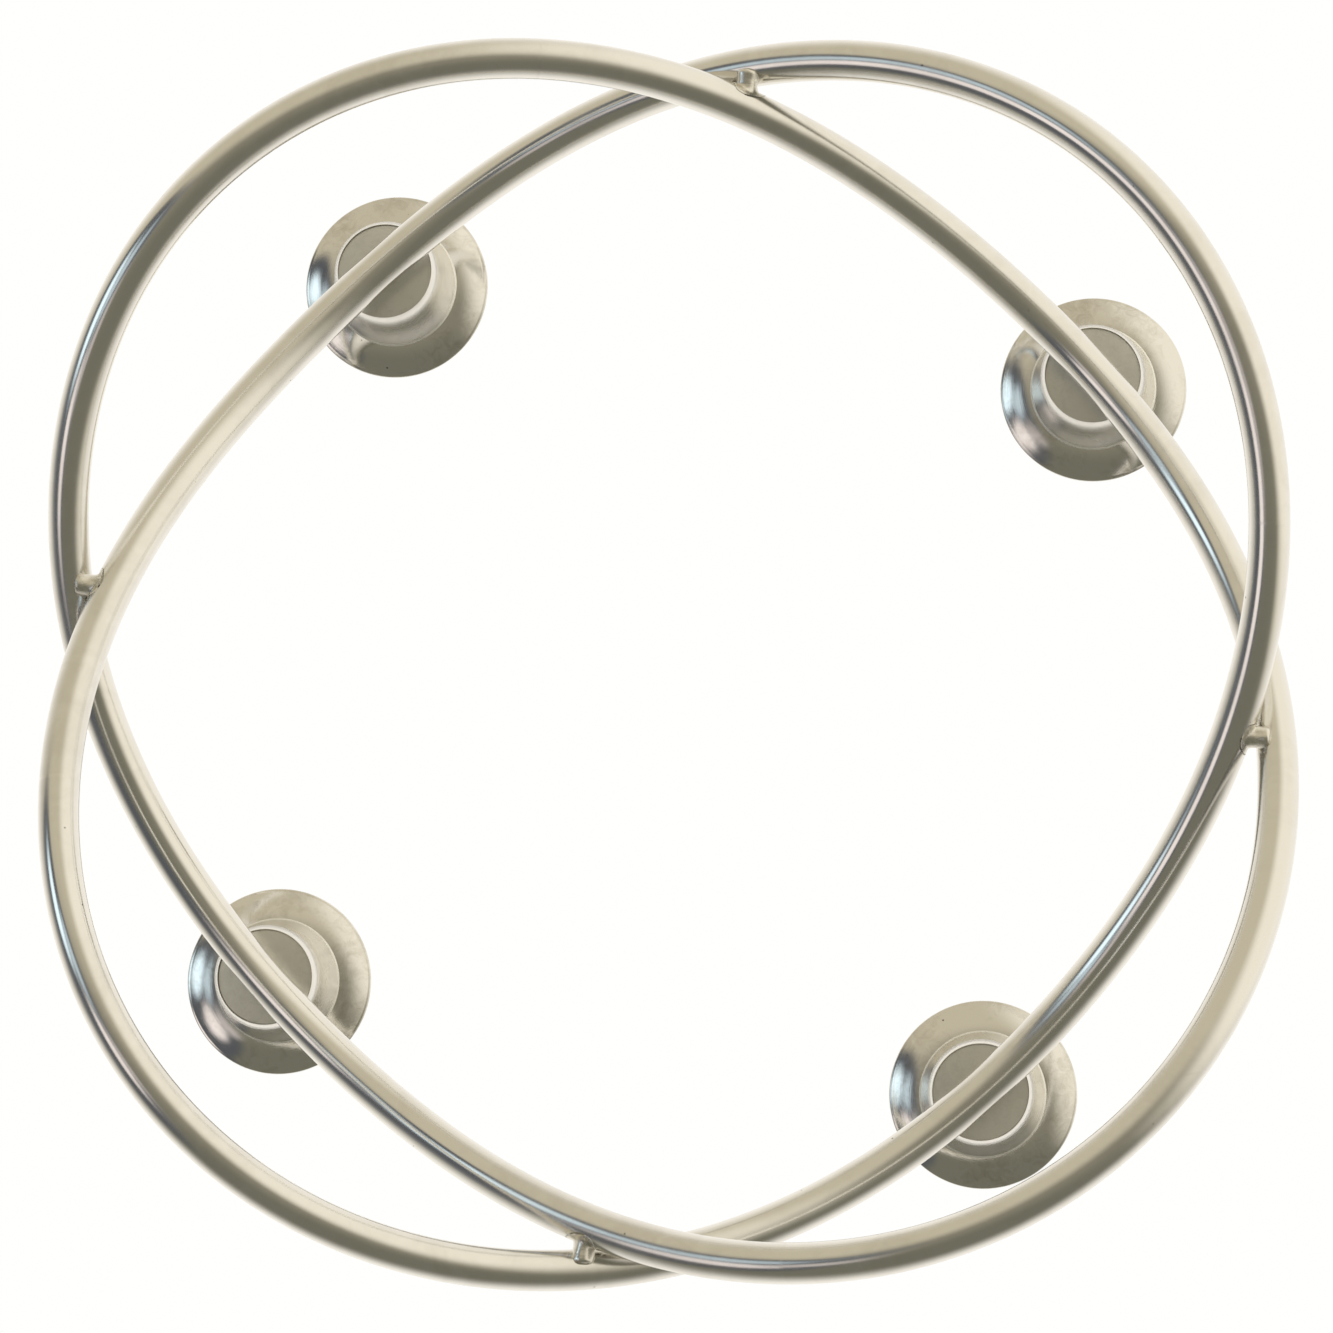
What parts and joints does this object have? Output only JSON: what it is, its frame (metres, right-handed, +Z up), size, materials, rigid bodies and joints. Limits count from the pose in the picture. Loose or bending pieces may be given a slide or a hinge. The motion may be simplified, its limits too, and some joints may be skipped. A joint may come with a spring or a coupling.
{
  "type": "wreath candle frame",
  "caption": "Open wreath frame of two interlaced oval steel tube rings carrying candle cups with drip pans.",
  "frame": {"origin": "bottom centre: midway between the four low points that the frame stands on", "axes": "+Z up, along the axis that the rings and cups turn about; the long ends of the rings lie on the diagonals between +X and +Y"},
  "size_m": [0.3056, 0.3056, 0.0919],
  "materials": {
    "polished_tube": "polished stainless tube",
    "polished_cup": "spun and polished",
    "polished_pan": "spun and polished, light handling marks",
    "satin_base": "matt sheet",
    "weld_metal": "dressed weld"
  },
  "bodies": {
    "root": {"ring_a_half_1": "polished_tube", "ring_a_half_2": "polished_tube", "ring_b_half_1": "polished_tube", "ring_b_half_2": "polished_tube", "ring_a_seam_1": "weld_metal", "ring_a_seam_2": "weld_metal", "ring_b_seam_1": "weld_metal", "ring_b_seam_2": "weld_metal", "candle_cup_1": "polished_cup", "cup_base_1": "satin_base", "drip_pan_1": "polished_pan", "cup_weld_1": "weld_metal", "bridge_pin_1": "polished_tube", "bridge_weld_1": "weld_metal", "candle_cup_2": "polished_cup", "cup_base_2": "satin_base", "drip_pan_2": "polished_pan", "cup_weld_2": "weld_metal", "bridge_pin_2": "polished_tube", "bridge_weld_2": "weld_metal", "candle_cup_3": "polished_cup", "cup_base_3": "satin_base", "drip_pan_3": "polished_pan", "cup_weld_3": "weld_metal", "bridge_pin_3": "polished_tube", "bridge_weld_3": "weld_metal", "candle_cup_4": "polished_cup", "cup_base_4": "satin_base", "drip_pan_4": "polished_pan", "cup_weld_4": "weld_metal", "bridge_pin_4": "polished_tube", "bridge_weld_4": "weld_metal"}
  },
  "joints": []
}
